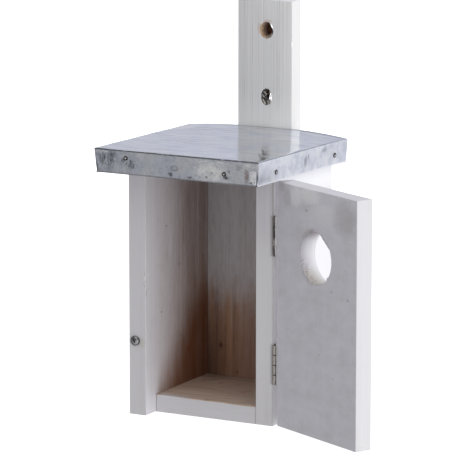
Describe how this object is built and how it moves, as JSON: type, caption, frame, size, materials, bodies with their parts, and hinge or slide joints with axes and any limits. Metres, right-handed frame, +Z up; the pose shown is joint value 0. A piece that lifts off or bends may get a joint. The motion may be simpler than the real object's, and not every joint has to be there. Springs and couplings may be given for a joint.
{
  "type": "nest box",
  "caption": "Small hanging nest box of whitewashed boards with a folded zinc roof, a drilled hanging batten and a side-hinged door with a round entrance, standing open.",
  "frame": {"origin": "middle of the box's footprint, on the underside of the floor board", "axes": "+Z up, +Y towards the hanging batten, -Y out of the open front, +X towards the hinged side"},
  "size_m": [0.1865, 0.1294, 0.254],
  "materials": {
    "whitewashed_pine": "whitewashed softwood board, thin worn wash over the grain",
    "door_wood": "whitewashed softwood door, brushed and smudged",
    "bare_pine": "bare planed pine with a white front edge",
    "batten_wood": "whitewashed batten with fine upright streaks",
    "zinc_sheet": "folded galvanised sheet, glossy blue-grey with dark stains",
    "hinge_steel": "small bright hinge steel gone slightly brown",
    "screw_steel": "plated screw steel",
    "nail_steel": "wire nail steel, lightly tarnished"
  },
  "bodies": {
    "box": {"left_wall": "whitewashed_pine", "right_wall": "whitewashed_pine", "back_wall": "whitewashed_pine", "floor_board": "bare_pine", "roof_board": "whitewashed_pine", "roof_cap": "zinc_sheet", "hanging_batten": "batten_wood", "catch_screw": "screw_steel", "batten_screws": "screw_steel", "front_roof_nails": "nail_steel", "right_roof_nails": "nail_steel", "left_roof_nails": "nail_steel", "right_wall_nails": "nail_steel", "left_wall_nails": "nail_steel", "back_wall_nails": "nail_steel", "lower_hinge_wall_leaf": "hinge_steel", "lower_hinge_wall_screws": "screw_steel", "lower_hinge_pin": "hinge_steel", "upper_hinge_wall_leaf": "hinge_steel", "upper_hinge_wall_screws": "screw_steel", "upper_hinge_pin": "hinge_steel"},
    "door_leaf": {"door": "door_wood", "lower_hinge_door_leaf": "hinge_steel", "lower_hinge_door_screws": "screw_steel", "upper_hinge_door_leaf": "hinge_steel", "upper_hinge_door_screws": "screw_steel"}
  },
  "joints": [
    {"name": "door_hinge", "type": "hinge", "parent": "box", "child": "door_leaf", "pos_m": [0.0492, -0.04, 0.07965], "axis": [0, 0, 1], "range_deg": [-153, 27]}
  ]
}
